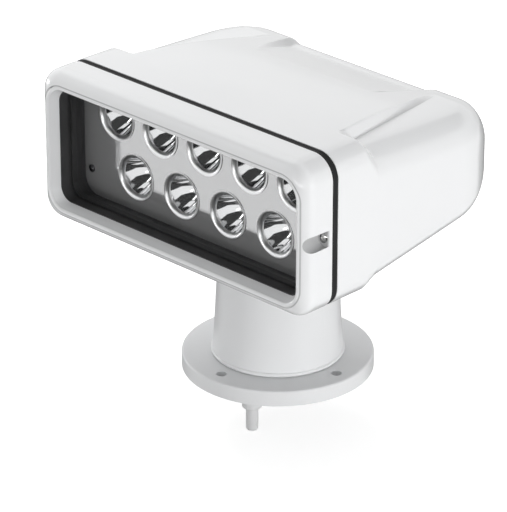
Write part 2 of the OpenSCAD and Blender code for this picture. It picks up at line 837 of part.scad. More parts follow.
module tilt_sector() {
    rim_r = sector_r - 1.25 * gear_module;
    hole_r = 5;
    wedge_hy = 2 * sector_r * sin(sector_half_angle);
    wedge_z = 2 * sector_r * cos(sector_half_angle);
    color("goldenrod") difference() {
        union() {
            at_tilt() across(sector_t) union() {
                intersection() {
                    gear_outline(sector_teeth, 270);
                    polygon([[0, sector_hub_r / 2], [-wedge_hy, -wedge_z], [wedge_hy, -wedge_z]]);
                }
                circle(r = sector_hub_r);
                towards_belly(stem_hy, belly_gap - saddle_t - sector_foot_t / 2);
            }
            on_belly() translate([-sector_foot[0], -sector_foot[1], -saddle_t - sector_foot_t])
                cube([2 * sector_foot[0], 2 * sector_foot[1], sector_foot_t]);
        }
        at_tilt() for (a = [-16, 16]) rotate([a, 0, 0]) translate([0, 0, -(rim_r + lug_r) / 2])
            cross_rod(hole_r, -sector_t, sector_t);
        on_belly() at_sector_screws() translate([0, 0, -belly_gap / 2])
            cylinder(r = small_screw[0] + fit_gap, h = belly_gap);
    }
}

module sector_screws() {
    color("silver") on_belly() at_sector_screws()
        translate([0, 0, -saddle_t - sector_foot_t]) rotate([180, 0, 0])
            pan_screw(small_screw, saddle_t + sector_foot_t - 1);
}

module trunnion_pins() {
    head_t = 3;
    color("silver") both_sides() at_tilt() difference() {
        union() {
            cross_rod(trunnion_r, lug_x - lug_t, ear_x + ear_t + move_gap + head_t);
            cross_rod(trunnion_r + 3, ear_x + ear_t + move_gap, ear_x + ear_t + move_gap + head_t);
        }
        cross_rod(wire_hole_r, 0, ear_x + ear_t);
    }
}

// Head: bezel, gasket and window

module at_window() {
    translate([0, -window_drop, 0]) children();
}

module front_bezel() {
    fillet_z = lip_front - bezel_round;
    color("white") facing() difference() {
        union() {
            difference() {
                swept_frame(head_hw, head_hh, corner_r) {
                    union() {
                        translate([-bezel_round, bezel_back]) square([bezel_round, fillet_z - bezel_back]);
                        intersection() {
                            translate([-bezel_round, fillet_z]) circle(r = bezel_round);
                            translate([-bezel_round, fillet_z - 1]) square(bezel_round + 1);
                        }
                    }
                }
                at_window() round_plate(window_hw + frame_inset, window_hh + frame_inset,
                    window_r + frame_inset, bezel_back - 1, lip_front + 1);
            }
            at_window() swept_frame(window_hw, window_hh, window_r) {
                union() {
                    translate([lip_r, lip_front - lip_r]) circle(r = lip_r);
                    polygon([
                        [0, lip_front - lip_r], [-reveal_taper, reveal_end], [-pocket_inset, reveal_end],
                        [-pocket_inset, bezel_back], [frame_inset + lip_overlap, bezel_back],
                        [frame_inset + lip_overlap, lip_front - lip_r]
                    ]);
                }
            }
        }
        both_sides() {
            translate([notch_x, 0, notch_end]) rotate([0, notch_tilt, 0])
                cylinder(r = notch_r, h = lip_front);
            translate([bezel_screw_x, 0, screw_seat])
                cylinder(r = large_screw[1] + 3 * fit_gap, h = notch_end - screw_seat + 1);
            translate([bezel_screw_x, 0, bezel_back - 1])
                cylinder(r = large_screw[0] + fit_gap, h = notch_end - bezel_back);
        }
    }
}

module bezel_gasket() {
    mid = gasket_back + gasket_t / 2;
    color("black") facing() difference() {
        swept_frame(head_hw, head_hh, corner_r) polygon([
            [-gasket_w, gasket_back], [-gasket_line, gasket_back], [-gasket_line / 2, mid - gasket_t / 4],
            [-gasket_line, mid], [-gasket_line / 2, mid + gasket_t / 4], [-gasket_line, bezel_back],
            [-gasket_w, bezel_back]
        ]);
        both_sides() translate([bezel_screw_x, 0, gasket_back - 1])
            cylinder(r = large_screw[0] + fit_gap, h = gasket_t + 2);
    }
}

module bezel_screws() {
    color("silver") both_sides() facing() translate([bezel_screw_x, 0, screw_seat])
        pan_screw(large_screw, screw_seat - gasket_back + bezel_grip);
}

module window_seal() {
    groove_rear = glass_front - glass_t;
    color("black") facing() at_window() swept_frame(seal_hw, seal_hh, seal_r) polygon([
        [seal_lip[0], seal_rear], [seal_lip[1], seal_rear], [seal_lip[1], bezel_back - seal_gap],
        [0, bezel_back - seal_gap], [0, reveal_end], [-seal_t, reveal_end],
        [-seal_t, glass_front], [-seal_t + glass_grip, glass_front],
        [-seal_t + glass_grip, groove_rear], [-seal_t, groove_rear],
        [-seal_t, bezel_back + seal_t], [seal_lip[0], seal_lip_front]
    ]);
}

module window_glass() {
    edge = seal_t - glass_grip + fit_gap;
    color("lightblue", 0.35) facing() at_window()
        round_plate(seal_hw - edge, seal_hh - edge, seal_r - edge,
            glass_front - glass_t + fit_gap, glass_front - fit_gap);
}

// Head: lamp

module at_standoffs() {
    for (x = [-1, 1], p = standoff_places) translate([x * p[0], p[1], 0]) children();
}

module at_head_posts() {
    for (x = [-1, 1], y = [-1, 1]) translate([x * head_post[0], y * head_post[1], 0]) children();
}

module reflector_plate() {
    color("gainsboro") facing() difference() {
        round_plate(plate_hw, plate_hh, plate_r, plate_rear, plate_front);
        for (p = cup_places) translate([p[0], p[1], plate_rear - 1])
            cylinder(r = cup_seat_r + fit_gap, h = plate_t + 2);
        at_head_posts() cylinder(r = medium_screw[0] + fit_gap, h = lip_front);
        at_standoffs() cylinder(r = medium_screw[0] + fit_gap, h = lip_front);
        both_sides() translate([bezel_screw_x, 0, plate_rear - 1])
            cylinder(r = screw_boss_r + 0.5, h = plate_t + 2);
    }
}

module plate_screws() {
    color("silver") facing() {
        at_head_posts() translate([0, 0, plate_front]) pan_screw(medium_screw, plate_t + post_grip);
        at_standoffs() translate([0, 0, plate_front]) pan_screw(medium_screw, plate_t + standoff_grip);
    }
}

function cup_radius(t) = sqrt(pow(cup_throat_r, 2) + (pow(cup_r, 2) - pow(cup_throat_r, 2)) * t);

module reflector_cup(i) {
    steps = 8;
    roll_steps = 6;
    roll_z = cup_depth + cup_proud - cup_roll;
    color("silver") facing() translate([cup_places[i][0], cup_places[i][1], cup_rear])
        rotate_extrude() polygon(concat(
            [for (k = [0 : steps - 1]) [cup_radius(k / steps), roll_z * k / steps]],
            [for (k = [0 : roll_steps]) let (a = 90 * k / roll_steps)
                [cup_r + cup_roll * (1 - cos(a)), roll_z + cup_roll * sin(a)]],
            [[cup_r + cup_roll, cup_depth], [cup_seat_r, cup_depth], [cup_seat_r, roll_z - cup_wall]],
            [for (k = [steps - 1 : -1 : 0]) [cup_radius(k / steps) + cup_wall, roll_z * k / steps]]
        ));
}

module led_emitters() {
    chip = 6;
    chip_t = 1.5;
    dome_r = 2.6;
    color("khaki") facing() for (p = cup_places) translate([p[0], p[1], board_front]) {
        translate([-chip / 2, -chip / 2, 0]) cube([chip, chip, chip_t]);
        intersection() {
            translate([0, 0, chip_t]) sphere(r = dome_r);
            translate([0, 0, chip_t - 0.5]) cylinder(r = dome_r + 1, h = dome_r + 1);
        }
    }
}

module led_board() {
    color("whitesmoke") facing() difference() {
        round_plate(board_hw, board_hh, board_r, board_rear, board_front);
        at_standoffs() cylinder(r = medium_screw[0] + fit_gap, h = lip_front);
    }
}

module heat_sink() {
    color("silver") facing() difference() {
        union() {
            round_plate(board_hw, board_hh, board_r, sink_rear, board_rear);
            for (i = [0 : fin_count - 1])
                translate([(i - (fin_count - 1) / 2) * fin_pitch - fin_t / 2, -fin_hh, fin_rear])
                    cube([fin_t, 2 * fin_hh, fin_depth + 1]);
        }
        at_standoffs() translate([0, 0, sink_rear + 2])
            cylinder(r = medium_screw[0] + fit_gap, h = lip_front);
    }
}

module lamp_standoffs() {
    color("silver") facing() at_standoffs() difference() {
        translate([0, 0, board_front]) cylinder(r = standoff_r, h = plate_rear - board_front, $fn = 6);
        translate([0, 0, board_front - 1]) cylinder(r = medium_screw[0] + fit_gap, h = plate_rear);
    }
}

module led_driver() {
    ear = 6;
    front = fin_rear - 0.2;
    color("dimgray") facing() difference() {
        union() {
            translate([-driver_size[0] / 2, -driver_size[2] / 2, front - driver_size[1]])
                cube([driver_size[0], driver_size[2], driver_size[1]]);
            translate([-driver_size[0] / 2 - ear, -driver_size[2] / 2, front - 3])
                cube([driver_size[0] + 2 * ear, driver_size[2], 3]);
        }
        both_sides() translate([driver_size[0] / 2 + ear / 2, 0, 0])
            cylinder(r = small_screw[0], h = lip_front);
    }
}

// Head: rear shell, a loft of rounded cross-sections from the gasket to the tail

function after_collar(y) = clamped((y + collar_end) / step_l);
function half_width(y) = head_hw - tail_turn * turned((y - side_turn_y) / (tail_back - side_turn_y));
function top_height(y) = head_z + head_hh
    - top_fall * pow((y - shell_front_y) / (spine_end_y - shell_front_y), 2)
    - tail_top_h * turned((y - top_turn_y) / (tail_back - top_turn_y));
function belly_height(y) = head_z - head_hh + belly_step * after_collar(y)
    + max(0, y - belly_front) * tan(belly_slope)
    + tail_belly_h * turned((y - belly_turn_y) / (tail_back - belly_turn_y));
function shoulder_drop(y) = shoulder_fall * after_collar(y)
    * (1 - pow(clamped((y - belly_front) / (spine_end_y - belly_front)), 2));
function spine_half_width(y) = spine_front_hw
    + (spine_rear_hw - spine_front_hw) * clamped((y - belly_front) / (spine_end_y - belly_front));
function scoop_at(y) = scoop_depth * clamped((y - scoop_y) / (scoop_full_y - scoop_y))
    * (1 - smooth((y - scoop_full_y) / (tail_back - scoop_full_y)));
function scoop_half_width(y) = scoop_hw + max(0, y - scoop_y) * scoop_flare;

// One cross-section, anticlockwise seen from the front, set in from the outer skin by inset
function section(y, inset) =
    let (w = half_width(y) - inset,
         top = top_height(y) - inset,
         low = belly_height(y) + inset,
         shoulder = top - shoulder_drop(y),
         most_r = 0.48 * (shoulder - low),
         r = min(corner_r + (rear_corner_r - corner_r) * after_collar(y) - inset, most_r),
         low_r = min(corner_r + (belly_corner_r - corner_r) * after_collar(y) - inset, most_r),
         flat = w - r,
         spine = min(spine_half_width(y), flat - spine_edge_w - 0.5),
         scoop = min(scoop_half_width(y), spine - scoop_wall_w - 1),
         scoop_z = top - scoop_at(y),
         right = [
            for (k = [0 : corner_steps]) let (a = -90 + 90 * k / corner_steps)
                [w - low_r + low_r * cos(a), low + low_r + low_r * sin(a)],
            for (k = [0 : corner_steps]) let (a = 90 * k / corner_steps)
                [flat + r * cos(a), shoulder - r + r * sin(a)],
            [spine + spine_edge_w, shoulder],
            [spine + spine_edge_w / 2, (shoulder + top) / 2],
            [spine, top],
            [scoop + scoop_wall_w, top],
            [scoop, scoop_z]
         ],
         count = len(right))
    concat(right, [for (k = [0 : count - 1]) [-right[count - 1 - k][0], right[count - 1 - k][1]]]);

// Places of the cross-sections from front to tail
step_places = [for (k = [0 : 2]) -collar_end + step_l * k / 2];
body_places = [for (k = [1 : 5]) belly_front + (scoop_y - belly_front) * k / 5];
tail_places = [for (k = [1 : 12]) scoop_y + (tail_back - 0.3 - scoop_y) * sin(90 * k / 12)];
outer_places = concat([shell_front_y], step_places, body_places, tail_places);
inner_places = [for (y = outer_places) if (y < inner_tail_y) y];

// Inner sections draw forward towards the tail, so that the tail's wall keeps its thickness
function inner_shift(y) = shell_wall * clamped((y - scoop_y) / (inner_tail_y - scoop_y));

module shell_skin() {
    outer = [for (y = outer_places) [for (p = section(y, 0)) [p[0], y, p[1]]]];
    inner = [for (y = inner_places) [for (p = section(y, shell_wall)) [p[0], y - inner_shift(y), p[1]]]];
    count = len(outer[0]);
    outer_n = len(outer);
    inner_n = len(inner);
    first_inner = outer_n * count;
    polyhedron(
        points = [for (ring_points = concat(outer, inner)) each ring_points],
        faces = [
            for (i = [0 : outer_n - 2], k = [0 : count - 1])
                let (a = i * count + k, b = i * count + (k + 1) % count)
                each [[a, b, b + count], [a, b + count, a + count]],
            for (i = [0 : inner_n - 2], k = [0 : count - 1])
                let (a = first_inner + i * count + k, b = first_inner + i * count + (k + 1) % count)
                each [[a, b + count, b], [a, a + count, b + count]],
            for (k = [0 : count - 1])
                let (a = k, b = (k + 1) % count)
                each [[a, a + first_inner, b + first_inner], [a, b + first_inner, b]],
            [for (k = [0 : count - 1]) (outer_n - 1) * count + k],
            [for (k = [count - 1 : -1 : 0]) first_inner + (inner_n - 1) * count + k]
        ],
        convexity = 6
    );
}

module rear_shell() {
    boss_l = 20;
    color("white") difference() {
        union() {
            shell_skin();
            facing() at_head_posts() translate([0, 0, plate_rear - head_post_l])
                cylinder(r = head_post_r, h = head_post_l);
            facing() both_sides() translate([bezel_screw_x, 0, gasket_back - boss_l])
                cylinder(r = screw_boss_r, h = boss_l);
        }
        facing() {
            at_head_posts() translate([0, 0, plate_rear]) tapped_hole(medium_screw, post_grip);
            both_sides() translate([bezel_screw_x, 0, gasket_back]) tapped_hole(large_screw, bezel_grip);
        }
        on_belly() {
            at_saddle_screws() cylinder(r = medium_screw[0] + fit_gap, h = 4 * shell_wall, center = true);
            at_wire_hole() cylinder(r = wire_hole_r, h = 4 * shell_wall, center = true);
        }
    }
}

base_flange();
cable_gland();
gland_locknut();
cable_spigot();
thrust_ring();
turret_seal();
pan_gear();
pan_gear_screws();
slip_ring_post();
turret_column();
pan_bush();
chassis_plate();
chassis_screws();
pan_gearmotor();
slip_ring_body();
control_board();
tilt_yoke();
yoke_screws();
tilt_bracket();
bracket_screws();
tilt_gearmotor();
trunnion_bushes();
pan_pinion();
tilt_pinion();
front_bezel();
bezel_gasket();
bezel_screws();
window_seal();
window_glass();
reflector_plate();
plate_screws();
led_emitters();
led_board();
heat_sink();
lamp_standoffs();
led_driver();
rear_shell();
tilt_saddle();
saddle_screws();
tilt_sector();
sector_screws();
trunnion_pins();
for (i = [0 : len(cup_names) - 1])
    reflector_cup(i);
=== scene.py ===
"""Looks of a deck-mounted marine searchlight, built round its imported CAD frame.

Metres. The origin is the centre of the flange's underside, +Z is up and the beam leaves along -Y.
The mouldings that need a smooth skin are made here from the same sizes as their solids; every other
solid keeps its own mesh. Each piece and each solid gets a procedural finish.
"""
import json
import math

import bpy
import numpy as np
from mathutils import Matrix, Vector


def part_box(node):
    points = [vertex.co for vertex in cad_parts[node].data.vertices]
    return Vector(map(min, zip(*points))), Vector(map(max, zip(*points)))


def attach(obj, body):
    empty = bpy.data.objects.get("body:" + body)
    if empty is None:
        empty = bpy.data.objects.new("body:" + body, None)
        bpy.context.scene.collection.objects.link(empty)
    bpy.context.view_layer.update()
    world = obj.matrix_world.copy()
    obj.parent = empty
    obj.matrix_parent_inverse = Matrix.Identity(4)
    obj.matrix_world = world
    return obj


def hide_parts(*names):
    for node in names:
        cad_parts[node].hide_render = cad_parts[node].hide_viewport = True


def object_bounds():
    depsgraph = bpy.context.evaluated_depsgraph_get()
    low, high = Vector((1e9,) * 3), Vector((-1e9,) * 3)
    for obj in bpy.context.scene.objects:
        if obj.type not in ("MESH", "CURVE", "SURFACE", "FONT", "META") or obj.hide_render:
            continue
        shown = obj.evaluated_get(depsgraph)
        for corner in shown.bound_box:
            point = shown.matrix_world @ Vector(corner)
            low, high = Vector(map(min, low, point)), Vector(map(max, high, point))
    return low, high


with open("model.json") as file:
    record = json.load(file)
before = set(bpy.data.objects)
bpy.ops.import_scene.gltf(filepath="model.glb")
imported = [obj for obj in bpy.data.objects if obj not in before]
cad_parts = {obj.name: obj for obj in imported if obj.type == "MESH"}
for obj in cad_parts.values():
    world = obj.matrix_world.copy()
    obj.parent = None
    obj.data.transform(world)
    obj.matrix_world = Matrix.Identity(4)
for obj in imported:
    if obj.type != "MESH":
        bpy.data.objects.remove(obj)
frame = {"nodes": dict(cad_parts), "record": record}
cad_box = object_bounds()
nodes = frame["nodes"]
scene = bpy.context.scene


# Sizes taken from the frame; HW, HH and R stand for half width, half height and radius

bezel_low, bezel_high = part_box("front_bezel")
HEAD_Z = (bezel_low.z + bezel_high.z) / 2
HEAD_HW = bezel_high.x
HEAD_HH = (bezel_high.z - bezel_low.z) / 2
SHELL_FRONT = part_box("bezel_gasket")[1].y

# The tail's turn would close at TAIL_BACK, and the skin stops this far in front of it
TAIL_TRIM = 0.0003
TAIL_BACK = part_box("rear_shell")[1].y + TAIL_TRIM

# Sizes of the rear shell, as in the part's source
CORNER_R = 0.022
REAR_CORNER_R = 0.030
BELLY_CORNER_R = 0.018
SHELL_WALL = 0.0045
TAIL_WALL = 2.5 * SHELL_WALL
COLLAR_END = -0.061
STEP_L = 0.016
BELLY_STEP = 0.010
BELLY_SLOPE = math.radians(9)
SHOULDER_FALL = 0.010
SPINE_FRONT_HW = 0.127
SPINE_REAR_HW = 0.100
SPINE_END = 0.0955
SPINE_EDGE = 0.0075
TOP_FALL = 0.020
TOP_TURN = 0.106
TAIL_TOP_H = 0.033
SIDE_TURN = 0.064
TAIL_TURN = 0.060
BELLY_TURN = 0.072
TAIL_BELLY_H = 0.048
SCOOP_FRONT = 0.045
SCOOP_FULL = 0.102
SCOOP_DEPTH = 0.0065
SCOOP_HW = 0.0705
SCOOP_FLARE = 0.21
SCOOP_WALL = 0.007
MOST_CORNER = 0.48
LEAST_FLAT = 0.0005

# Bead round the window, as in the part's source
BEAD_HW = 0.160
BEAD_HH = 0.06345
BEAD_CORNER_R = 0.0217
BEAD_DEPTH = 0.004
BEAD_Y = bezel_low.y + BEAD_DEPTH
WINDOW_DROP = 0.0018

# Screw notches in the bezel's sides, as in the part's source
NOTCH_R = 0.0079
NOTCH_TILT = math.radians(10)
NOTCH_INSET = 0.0022
NOTCH_X = HEAD_HW - NOTCH_INSET
NOTCH_END = 0.1133
SCREW_SEAT = 0.111
NOTCH_SLACK = 0.0001

# Sizes of the reflectors, as in the part's source
CUP_COUNT = 9
CUP_R = 0.018
CUP_THROAT_R = 0.005
CUP_DEPTH = 0.026
CUP_WALL = 0.001
CUP_ROLL = 0.0045
CUP_PROUD = 0.0008
CUP_SEAT_INSET = 0.0015
MOUTH_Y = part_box("reflector_cup_1")[0].y + CUP_ROLL

# Points along each stretch of the rear shell's section, and the share by which they pass its ends
BELLY_POINTS = 14
CORNER_POINTS = 12
SPINE_EDGE_POINTS = 15
SPINE_EDGE_MARGIN = 0.06
SCOOP_WALL_POINTS = 13
SCOOP_WALL_MARGIN = 0.08
SCOOP_FLOOR_POINTS = 12
SCOOP_FLOOR_MARGIN = 0.1

# Sections along each stretch of the rear shell
COLLAR_SECTIONS = 6
STEP_SECTIONS = 17
BODY_SECTIONS = 34
TAIL_SECTIONS = 44


# Meshes

def add_piece(name, points, faces, crease_degrees=40):
    """A mesh object, shaded smooth except along edges sharper than the crease angle."""
    mesh = bpy.data.meshes.new(name)
    mesh.from_pydata([tuple(p) for p in points], [], faces)
    mesh.validate()
    mesh.shade_smooth()
    mesh.set_sharp_from_angle(angle=math.radians(crease_degrees))
    piece = bpy.data.objects.new(name, mesh)
    scene.collection.objects.link(piece)
    return piece


def band_faces(start, ring_count, ring_size, flip=False):
    """Quads between rings of points that each close on themselves."""
    faces = []
    for i in range(ring_count - 1):
        for k in range(ring_size):
            a = start + i * ring_size + k
            b = start + i * ring_size + (k + 1) % ring_size
            quad = (a, b, b + ring_size, a + ring_size)
            faces.append(quad[::-1] if flip else quad)
    return faces


def dress(piece, body, slot, *replaced):
    """Ties a piece to its body and its material slot, and hides the solids it stands for."""
    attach(piece, body)
    if replaced:
        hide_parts(*replaced)
    piece.data.materials.append(finishes[slot])
    return piece


def round_angles(turns):
    return [2 * math.pi * k / turns for k in range(turns)]


def clamped(t):
    return np.clip(t, 0.0, 1.0)


def eased(t):
    c = clamped(t)
    return c * c * (3 - 2 * c)


def ramped(t):
    """A straight ramp from 0 to 1 with its two ends rounded off."""
    rounding = 0.16
    c = clamped(t)
    low = np.minimum(c, 1 - c)
    half = np.where(low < rounding, low ** 2 / (2 * rounding), low - rounding / 2) / (1 - rounding)
    return np.where(c < 0.5, half, 1 - half)


def turned(t):
    """Quarter of an ellipse: 0 where the turn starts, 1 where it ends."""
    return 1 - np.sqrt(np.maximum(0.0, 1 - clamped(t) ** 2))


# Rear shell

def after_collar(y):
    return ramped((y - COLLAR_END) / STEP_L)


def along_spine(y):
    return clamped((y - COLLAR_END - STEP_L) / (SPINE_END - COLLAR_END - STEP_L))


def shell_half_width(y):
    return HEAD_HW - TAIL_TURN * turned((y - SIDE_TURN) / (TAIL_BACK - SIDE_TURN))


def shell_top(y):
    fall = TOP_FALL * ((y - SHELL_FRONT) / (SPINE_END - SHELL_FRONT)) ** 2
    return HEAD_Z + HEAD_HH - fall - TAIL_TOP_H * turned((y - TOP_TURN) / (TAIL_BACK - TOP_TURN))


def shell_belly(y):
    rise = BELLY_STEP * after_collar(y) + max(0.0, y - COLLAR_END - STEP_L) * math.tan(BELLY_SLOPE)
    return HEAD_Z - HEAD_HH + rise + TAIL_BELLY_H * turned((y - BELLY_TURN) / (TAIL_BACK - BELLY_TURN))


def scoop_depth(y):
    ramp = clamped((y - SCOOP_FRONT) / (SCOOP_FULL - SCOOP_FRONT))
    return SCOOP_DEPTH * ramp * (1 - eased((y - SCOOP_FULL) / (TAIL_BACK - SCOOP_FULL)))


def shell_section(y, inset):
    """One closed cross-section, starting at the middle of the belly and going round by the right side."""
    half_width = shell_half_width(y) - inset
    top = shell_top(y) - inset
    low = shell_belly(y) + inset
    drop = SHOULDER_FALL * after_collar(y) * (1 - along_spine(y) ** 2)
    shoulder = top - drop
    most_r = MOST_CORNER * (shoulder - low)
    upper_r = min(CORNER_R + (REAR_CORNER_R - CORNER_R) * after_collar(y) - inset, most_r)
    lower_r = min(CORNER_R + (BELLY_CORNER_R - CORNER_R) * after_collar(y) - inset, most_r)
    spine = SPINE_FRONT_HW + (SPINE_REAR_HW - SPINE_FRONT_HW) * along_spine(y)
    spine = min(spine, half_width - upper_r - SPINE_EDGE - LEAST_FLAT)
    scoop = min(SCOOP_HW + max(0.0, y - SCOOP_FRONT) * SCOOP_FLARE, spine - SCOOP_WALL - 2 * LEAST_FLAT)
    lower_x, lower_z = half_width - lower_r, low + lower_r
    upper_x, upper_z = half_width - upper_r, shoulder - upper_r
    quarter = np.linspace(0, math.pi / 2, CORNER_POINTS)
    right = [(x, low) for x in np.linspace(0, lower_x, BELLY_POINTS)[:-1]]
    right += [(lower_x + lower_r * math.sin(a), lower_z - lower_r * math.cos(a)) for a in quarter]
    right += [(half_width, lower_z + t * (upper_z - lower_z)) for t in (0.25, 0.5, 0.75)]
    right += [(upper_x + upper_r * math.cos(a), upper_z + upper_r * math.sin(a)) for a in quarter]
    edge_x = spine + SPINE_EDGE * np.linspace(1 + SPINE_EDGE_MARGIN, -SPINE_EDGE_MARGIN, SPINE_EDGE_POINTS)
    wall_x = scoop + SCOOP_WALL * np.linspace(1 + SCOOP_WALL_MARGIN, -SCOOP_WALL_MARGIN, SCOOP_WALL_POINTS)
    floor_x = np.linspace(scoop - SCOOP_FLOOR_MARGIN * SCOOP_WALL, 0, SCOOP_FLOOR_POINTS)[1:]
    for x in np.concatenate([edge_x, wall_x, floor_x]):
        height = shoulder + drop * ramped((spine + SPINE_EDGE - x) / SPINE_EDGE)
        right.append((x, height - scoop_depth(y) * ramped((scoop + SCOOP_WALL - x) / SCOOP_WALL)))
    left = [(-x, z) for x, z in right[-2:0:-1]]
    return np.array([(x, y, z) for x, z in right + left])


def shell_places():
    """Stations from the gasket to the tail, close together where the skin bends."""
    collar = np.linspace(SHELL_FRONT, COLLAR_END, COLLAR_SECTIONS)
    step = np.linspace(COLLAR_END, COLLAR_END + STEP_L, STEP_SECTIONS)
    body = np.linspace(COLLAR_END + STEP_L, SIDE_TURN, BODY_SECTIONS)
    turn = np.sin(np.linspace(0, math.pi / 2, TAIL_SECTIONS))
    tail = SIDE_TURN + (TAIL_BACK - TAIL_TRIM - SIDE_TURN) * turn
    return np.concatenate([collar[:-1], step[:-1], body[:-1], tail])


def make_rear_shell():
    """A hollow skin: outside, inside, the rim at the gasket and the two ends at the tail."""
    places = shell_places()
    outer = [shell_section(y, 0.0) for y in places]
    inner_back = TAIL_BACK - TAIL_WALL
    inner_places = [y for y in places if y < inner_back]
    draw = [SHELL_WALL * clamped((y - SCOOP_FRONT) / (inner_back - SCOOP_FRONT)) for y in inner_places]
    inner = [shell_section(y, SHELL_WALL) - np.array((0, d, 0)) for y, d in zip(inner_places, draw)]
    size = len(outer[0])
    first_inner = len(outer) * size
    last_inner = first_inner + (len(inner) - 1) * size
    outside = band_faces(0, len(outer), size)
    inside = band_faces(first_inner, len(inner), size, flip=True)
    rim = [(k, first_inner + k, first_inner + (k + 1) % size, (k + 1) % size) for k in range(size)]
    outer_end = tuple(first_inner - size + k for k in range(size))
    inner_end = tuple(last_inner + k for k in reversed(range(size)))
    faces = outside + inside + rim + [outer_end, inner_end]
    shell = add_piece("rear_shell_skin", np.concatenate(outer + inner), faces, crease_degrees=50)
    dress(shell, "head", "white_shell", "rear_shell")


# Reflectors

def lathe(name, profile, centre):
    """Turns a closed profile of (radius, forward) points about an axis along -Y through the centre."""
    turns = 72
    points = [(centre[0] + radius * math.cos(a), centre[1] - forward, centre[2] + radius * math.sin(a))
              for radius, forward in profile for a in round_angles(turns)]
    faces = []
    for i in range(len(profile)):
        j = (i + 1) % len(profile)
        for k in range(turns):
            m = (k + 1) % turns
            faces.append((i * turns + k, j * turns + k, j * turns + m, i * turns + m))
    return add_piece(name, points, faces, crease_degrees=15)


def cup_radius(t):
    return math.sqrt(CUP_THROAT_R ** 2 + (CUP_R ** 2 - CUP_THROAT_R ** 2) * t)


def cup_profile():
    """Bowl, rolled mouth, seat and back of a reflector, from its throat round to its throat again."""
    steps = 28
    roll_points = 16
    steps_under_seat = 3
    roll_z = CUP_DEPTH + CUP_PROUD - CUP_ROLL
    seat_r = CUP_R + CUP_ROLL - CUP_SEAT_INSET
    bowl = [(cup_radius(k / steps), roll_z * k / steps) for k in range(steps)]
    roll = [(CUP_R + CUP_ROLL * (1 - math.cos(a)), roll_z + CUP_ROLL * math.sin(a))
            for a in np.linspace(0, math.pi / 2, roll_points)]
    seat = [(CUP_R + CUP_ROLL, CUP_DEPTH), (seat_r, CUP_DEPTH), (seat_r, roll_z - CUP_WALL)]
    back = [(cup_radius(k / steps) + CUP_WALL, roll_z * k / steps)
            for k in range(steps - steps_under_seat, -1, -1)]
    return bowl + roll + seat + back


def make_reflectors():
    for index in range(1, CUP_COUNT + 1):
        low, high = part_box(f"reflector_cup_{index}")
        centre = ((low.x + high.x) / 2, high.y, (low.z + high.z) / 2)
        bowl = lathe(f"reflector_bowl_{index}", cup_profile(), centre)
        dress(bowl, "head", "bright_reflector", f"reflector_cup_{index}")


# Shader wiring

class Wire:
    """One shader socket; arithmetic on wires adds Math nodes to their tree."""

    def __init__(self, shading, socket):
        self.shading = shading
        self.socket = socket

    def joined(self, operation, first, second):
        return self.shading.node("Math", {"operation": operation}, {0: first, 1: second})

    def __add__(self, other):
        return self.joined("ADD", self, other)

    def __radd__(self, other):
        return self.joined("ADD", other, self)

    def __sub__(self, other):
        return self.joined("SUBTRACT", self, other)

    def __rsub__(self, other):
        return self.joined("SUBTRACT", other, self)

    def __mul__(self, other):
        return self.joined("MULTIPLY", self, other)

    def __rmul__(self, other):
        return self.joined("MULTIPLY", other, self)

    def __gt__(self, other):
        return self.joined("GREATER_THAN", self, other)


